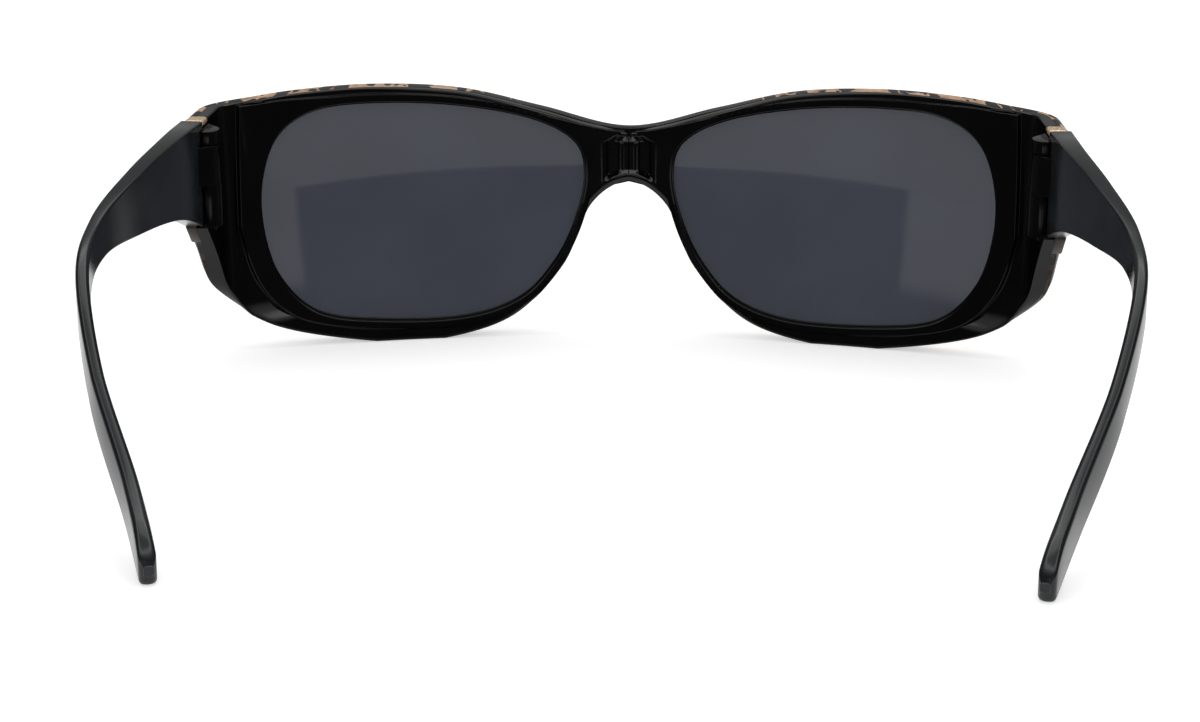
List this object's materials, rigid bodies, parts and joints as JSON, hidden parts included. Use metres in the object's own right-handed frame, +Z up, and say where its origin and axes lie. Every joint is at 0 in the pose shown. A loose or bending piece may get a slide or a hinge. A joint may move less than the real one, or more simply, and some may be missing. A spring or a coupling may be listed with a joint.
{
  "type": "sunglasses",
  "caption": "Wrap-style polarized sunglasses with a printed front over a black frame, grey lenses and folding temples.",
  "frame": {"origin": "middle of the overall box on the ground that the open sunglasses stand on", "axes": "+X towards the wearer's left, the lens faces look along -Y and the open temples run to +Y, +Z up"},
  "size_m": [0.1616, 0.126, 0.0464],
  "materials": {
    "frame_black": "polished",
    "print_brown": "brown and black animal print under gloss",
    "trim_gold": "polished pale gold",
    "lens_grey": "clear grey tint",
    "lens_film": "dark polarizing film",
    "screw_steel": "bright"
  },
  "bodies": {
    "front": {"front_frame": "frame_black", "front_print": "print_brown", "trim_left": "trim_gold", "trim_right": "trim_gold", "lens_left_outer": "lens_grey", "lens_left_film": "lens_film", "lens_left_inner": "lens_grey", "lens_right_outer": "lens_grey", "lens_right_film": "lens_film", "lens_right_inner": "lens_grey", "hinge_screw_left": "screw_steel", "hinge_screw_right": "screw_steel"},
    "temple_left": {"temple_left": "frame_black"},
    "temple_right": {"temple_right": "frame_black"}
  },
  "joints": [
    {"name": "temple_left_fold", "type": "hinge", "parent": "front", "child": "temple_left", "pos_m": [0.07016, -0.03294, 0.0375], "axis": [0, 0, 1], "range_deg": [0, 92]},
    {"name": "temple_right_fold", "type": "hinge", "parent": "front", "child": "temple_right", "pos_m": [-0.07016, -0.03294, 0.0375], "axis": [0, 0, -1], "range_deg": [0, 84]}
  ]
}
